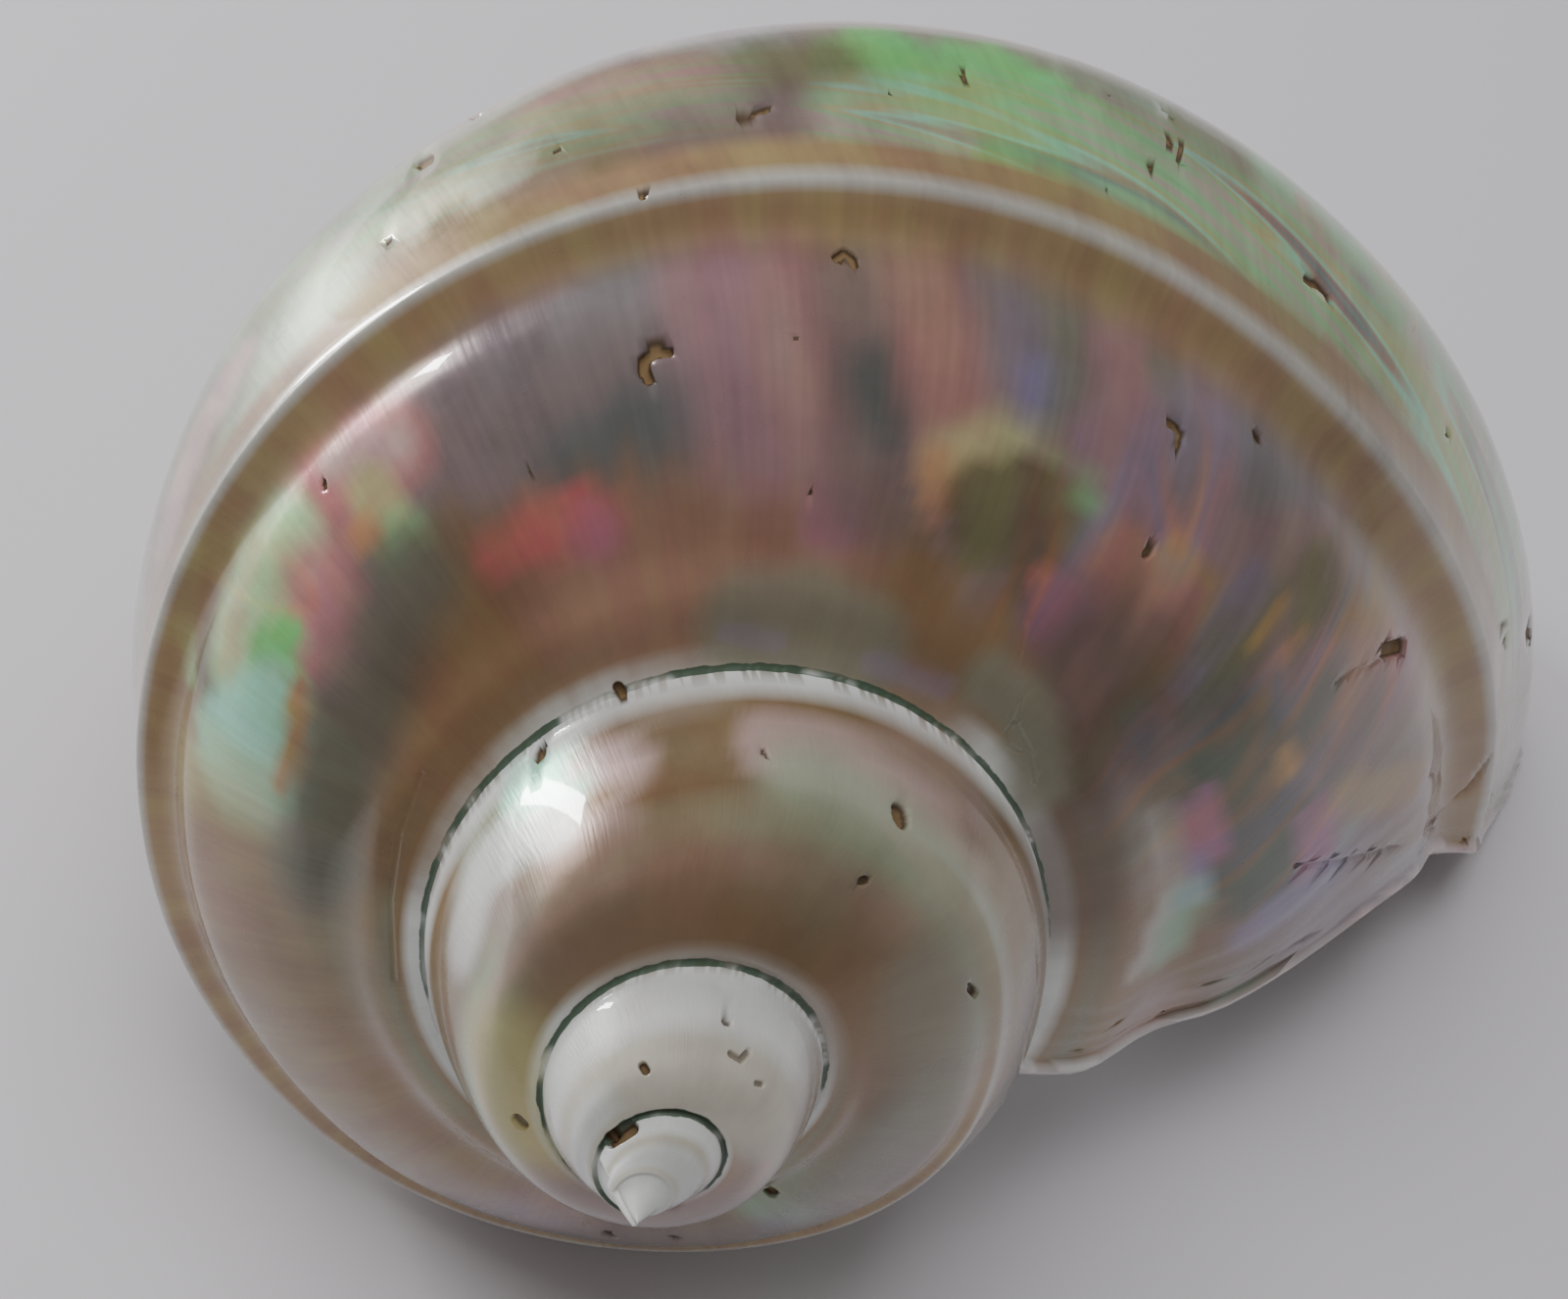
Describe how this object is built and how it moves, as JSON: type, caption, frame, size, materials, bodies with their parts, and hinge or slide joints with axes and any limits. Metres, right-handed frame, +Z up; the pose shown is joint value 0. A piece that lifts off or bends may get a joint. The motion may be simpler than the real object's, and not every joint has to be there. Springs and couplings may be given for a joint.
{
  "type": "mother-of-pearl shell",
  "caption": "Polished turban sea shell with a spiral spire, a keeled round body whorl and a wide hollow mouth, lying on its mouth.",
  "frame": {"origin": "on the surface that the shell lies on, below the middle of its box", "axes": "+Z up as the shell rests on its mouth; -Y toward the tip of the spire; +X toward the outer lip"},
  "size_m": [0.1438, 0.1698, 0.0922],
  "materials": {
    "pearl": "polished mother-of-pearl"
  },
  "bodies": {
    "root": {"shell": "pearl"}
  },
  "joints": []
}
